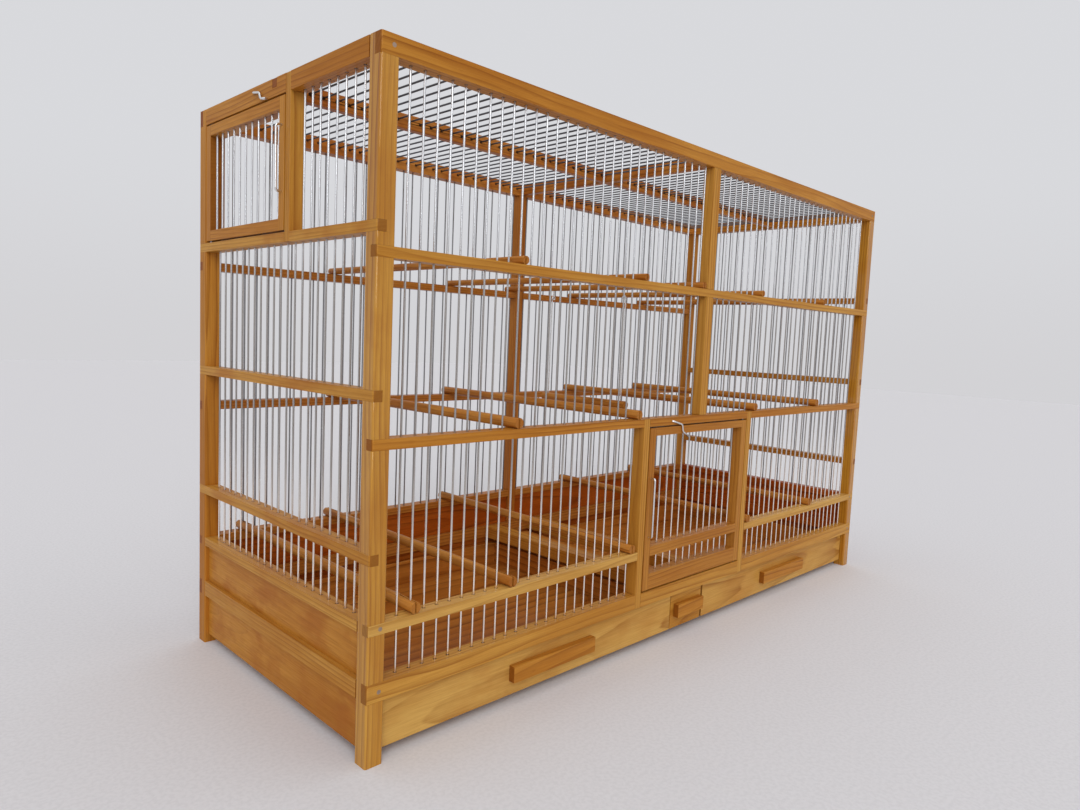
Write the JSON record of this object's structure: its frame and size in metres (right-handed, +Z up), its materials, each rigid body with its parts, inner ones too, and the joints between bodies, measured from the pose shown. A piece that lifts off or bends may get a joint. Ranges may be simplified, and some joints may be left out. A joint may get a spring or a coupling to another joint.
{
  "type": "canary breeding cage",
  "caption": "Wooden canary breeding cage with steel wires, a front door, an end door, litter drawers, perches and a swing.",
  "frame": {"origin": "on the floor under the middle of the frame, as seen from above", "axes": "+X right along the cage seen from the front, +Y from the front to the back, +Z up; the front faces -Y"},
  "size_m": [1.0072, 0.3822, 0.625],
  "materials": {
    "amber_wood": "lacquered pine, satin, straight grain",
    "honey_wood": "lacquered pine, satin, straight grain",
    "brown_wood": "stained board, dull",
    "perch_wood": "turned wood, dull",
    "steel_wire": "drawn steel wire, bright",
    "bright_steel": "galvanised steel wire, bright"
  },
  "bodies": {
    "frame": {"front_left_post": "honey_wood", "front_right_post": "honey_wood", "back_left_post": "honey_wood", "back_right_post": "honey_wood", "front_mid_post": "honey_wood", "back_mid_post": "honey_wood", "front_top_rail": "amber_wood", "back_top_rail": "amber_wood", "left_top_rail": "amber_wood", "right_top_rail": "amber_wood", "roof_long_bar": "amber_wood", "roof_cross_bar": "amber_wood", "front_upper_rail": "amber_wood", "front_middle_rail": "amber_wood", "front_low_rails": "amber_wood", "front_bottom_rail": "amber_wood", "back_lap_rails": "brown_wood", "back_bottom_rail": "amber_wood", "left_lap_rails": "amber_wood", "left_plain_rails": "amber_wood", "right_lap_rails": "amber_wood", "right_plain_rails": "amber_wood", "back_boards": "brown_wood", "left_boards": "brown_wood", "right_boards": "brown_wood", "floor_board": "brown_wood", "slide_bars": "amber_wood", "front_jambs": "honey_wood", "end_jamb": "honey_wood", "front_wires_left": "steel_wire", "front_wires_right": "steel_wire", "front_wires_over_door": "steel_wire", "back_wires": "steel_wire", "left_wires_tall": "steel_wire", "left_wires_short": "steel_wire", "right_wires": "steel_wire", "roof_wires": "steel_wire", "hinge_pins": "bright_steel", "perches": "perch_wood", "swing_eyes": "bright_steel", "nails": "bright_steel"},
    "front_door": {"front_door_frame": "amber_wood", "front_door_wires": "steel_wire", "front_door_pull": "bright_steel"},
    "end_door": {"end_door_frame": "amber_wood", "end_door_wires": "steel_wire", "end_door_pull": "bright_steel"},
    "front_latch": {"front_latch": "bright_steel"},
    "end_latch": {"end_latch": "bright_steel"},
    "left_drawer": {"left_drawer_front": "amber_wood", "left_drawer_tray": "brown_wood", "left_drawer_handle": "amber_wood"},
    "right_drawer": {"right_drawer_front": "amber_wood", "right_drawer_tray": "brown_wood", "right_drawer_handle": "amber_wood"},
    "slide": {"slide_front": "amber_wood", "slide_boards": "brown_wood", "slide_handle": "amber_wood"},
    "swing": {"swing_perch": "perch_wood", "swing_wires": "steel_wire"}
  },
  "joints": [
    {"name": "front_door_hinge", "type": "hinge", "parent": "frame", "child": "front_door", "pos_m": [0.1073, -0.1835, 0.1795], "axis": [0, 0, 1], "range_deg": [0, 110]},
    {"name": "end_door_hinge", "type": "hinge", "parent": "frame", "child": "end_door", "pos_m": [-0.496, 0.1635, 0.5415], "axis": [0, 0, -1], "range_deg": [0, 110]},
    {"name": "front_latch_pivot", "type": "hinge", "parent": "frame", "child": "front_latch", "pos_m": [-0.0675, -0.1875, 0.28735], "axis": [0, -1, 0], "range_deg": [0, 180]},
    {"name": "end_latch_pivot", "type": "hinge", "parent": "frame", "child": "end_latch", "pos_m": [-0.5, 0.047, 0.6195], "axis": [1, 0, 0], "range_deg": [-150, 50]},
    {"name": "left_drawer_slide", "type": "slide", "parent": "frame", "child": "left_drawer", "axis": [0, -1, 0], "range_m": [0, 0.3]},
    {"name": "right_drawer_slide", "type": "slide", "parent": "frame", "child": "right_drawer", "axis": [0, -1, 0], "range_m": [0, 0.3]},
    {"name": "centre_slide", "type": "slide", "parent": "frame", "child": "slide", "axis": [0, -1, 0], "range_m": [0, 0.3]},
    {"name": "swing_pivot", "type": "hinge", "parent": "frame", "child": "swing", "pos_m": [-0.015, 0.011, 0.44435], "axis": [0, 1, 0], "range_deg": [-25, 25]}
  ]
}
